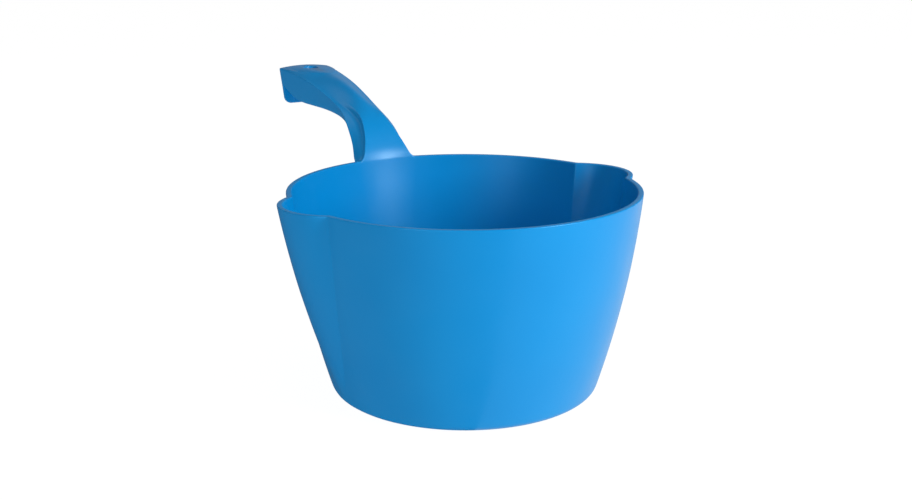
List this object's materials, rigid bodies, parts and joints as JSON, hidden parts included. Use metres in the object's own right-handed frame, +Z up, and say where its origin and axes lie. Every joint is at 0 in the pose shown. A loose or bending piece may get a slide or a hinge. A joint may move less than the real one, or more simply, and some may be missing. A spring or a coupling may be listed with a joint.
{
  "type": "feed scoop",
  "caption": "One-piece moulded plastic bowl scoop with side pouring lips and an arched channel handle with a hanging hole.",
  "frame": {"origin": "centre of the bowl's flat foot, on the surface that it stands on", "axes": "+Z up out of the bowl's mouth, +Y from the bowl along the handle to its tip, +X and -X along the pouring lips"},
  "size_m": [0.1994, 0.2943, 0.146],
  "materials": {
    "blue_plastic": "semi-gloss moulded polypropylene"
  },
  "bodies": {
    "root": {"base": "blue_plastic", "front_wall": "blue_plastic", "back_wall": "blue_plastic", "left_pouring_lip": "blue_plastic", "right_pouring_lip": "blue_plastic", "left_root_rib": "blue_plastic", "right_root_rib": "blue_plastic", "handle_root": "blue_plastic", "handle_grip": "blue_plastic", "left_flank": "blue_plastic", "right_flank": "blue_plastic", "end_wall": "blue_plastic"}
  },
  "joints": []
}
